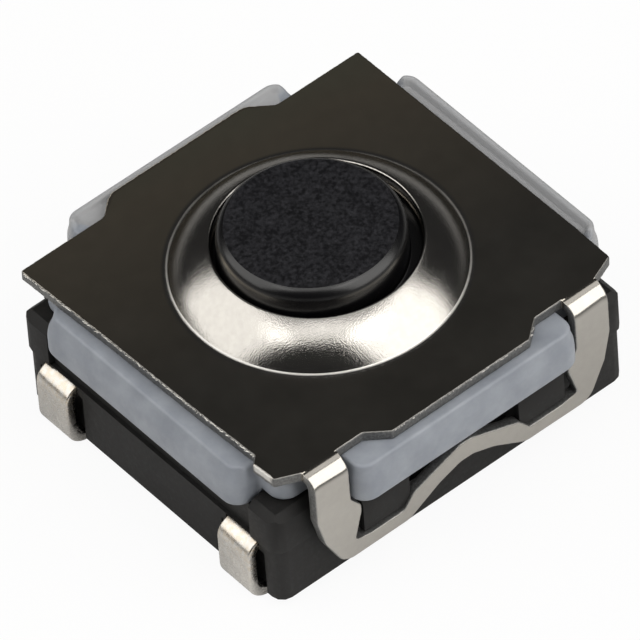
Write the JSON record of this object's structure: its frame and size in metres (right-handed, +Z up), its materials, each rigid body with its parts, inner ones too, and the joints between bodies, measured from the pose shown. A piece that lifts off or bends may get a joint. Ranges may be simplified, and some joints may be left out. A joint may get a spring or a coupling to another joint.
{
  "type": "tactile push button switch",
  "caption": "Sealed surface-mount tactile push button switch: round button in a steel cover with a raised collar, soft seal, moulded base and J-bend leads.",
  "frame": {"origin": "on the board, under the middle of the switch", "axes": "+Z up from the board towards the button; the leads are on the two X sides and the cover's clip frames on the two Y sides"},
  "size_m": [0.007, 0.0066, 0.0035],
  "materials": {
    "base": "black moulded plastic, matte",
    "contact_centre": "silver-plated copper alloy strip, satin with a warm tint",
    "contact_outer": "silver-plated copper alloy strip, satin with a warm tint",
    "snap_dome": "silver-plated spring steel",
    "seal": "blue-grey silicone, matte",
    "button": "charcoal black hard plastic with a fine grain",
    "cover": "bright stainless sheet, satin, with rough sheared edges"
  },
  "bodies": {
    "housing": {"base": "base", "contact_centre": "contact_centre", "contact_outer": "contact_outer", "snap_dome": "snap_dome", "seal": "seal", "cover": "cover"},
    "button": {"button": "button"}
  },
  "joints": [
    {"name": "button_press", "type": "slide", "parent": "housing", "child": "button", "axis": [0, 0, -1], "range_m": [0, 0.00035], "stiffness_N_per_m": 5000, "deforming": ["seal", "snap_dome"]}
  ]
}
